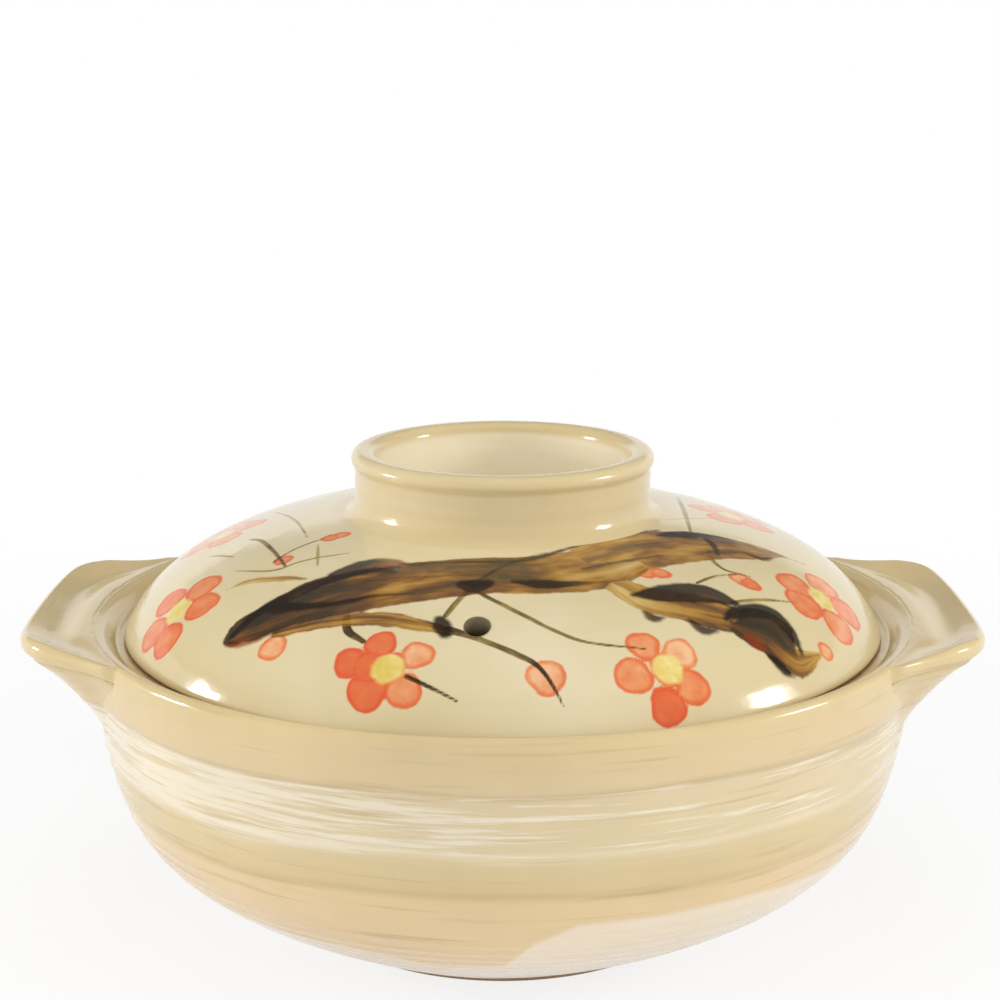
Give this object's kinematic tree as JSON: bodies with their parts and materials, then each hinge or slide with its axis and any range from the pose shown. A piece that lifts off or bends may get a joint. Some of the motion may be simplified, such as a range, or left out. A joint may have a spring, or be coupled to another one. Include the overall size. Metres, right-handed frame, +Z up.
{
  "type": "donabe clay pot",
  "caption": "Round lidded stoneware cooking pot with a deep bowl, two lug handles, and a domed lid with a ring-shaped knob and a steam hole.",
  "frame": {"origin": "on the pot's axis, on the surface that its foot ring stands on", "axes": "+X through the right-hand lug as seen from the front, +Y to the back, +Z up along the pot's and the lid's axis; the steam hole is at the front, towards -Y"},
  "size_m": [0.2898, 0.257, 0.1504],
  "materials": {
    "bowl_glaze": "gloss",
    "lug_glaze": "gloss",
    "lid_glaze": "gloss",
    "knob_glaze": "gloss"
  },
  "bodies": {
    "pot": {"pot_bowl": "bowl_glaze", "lug_left": "lug_glaze", "lug_right": "lug_glaze"},
    "lid": {"lid_dome": "lid_glaze", "lid_knob_ring": "knob_glaze"}
  },
  "joints": [
    {"name": "lid_lift", "type": "slide", "parent": "pot", "child": "lid", "axis": [0, 0, 1], "range_m": [0, 0.15]}
  ]
}
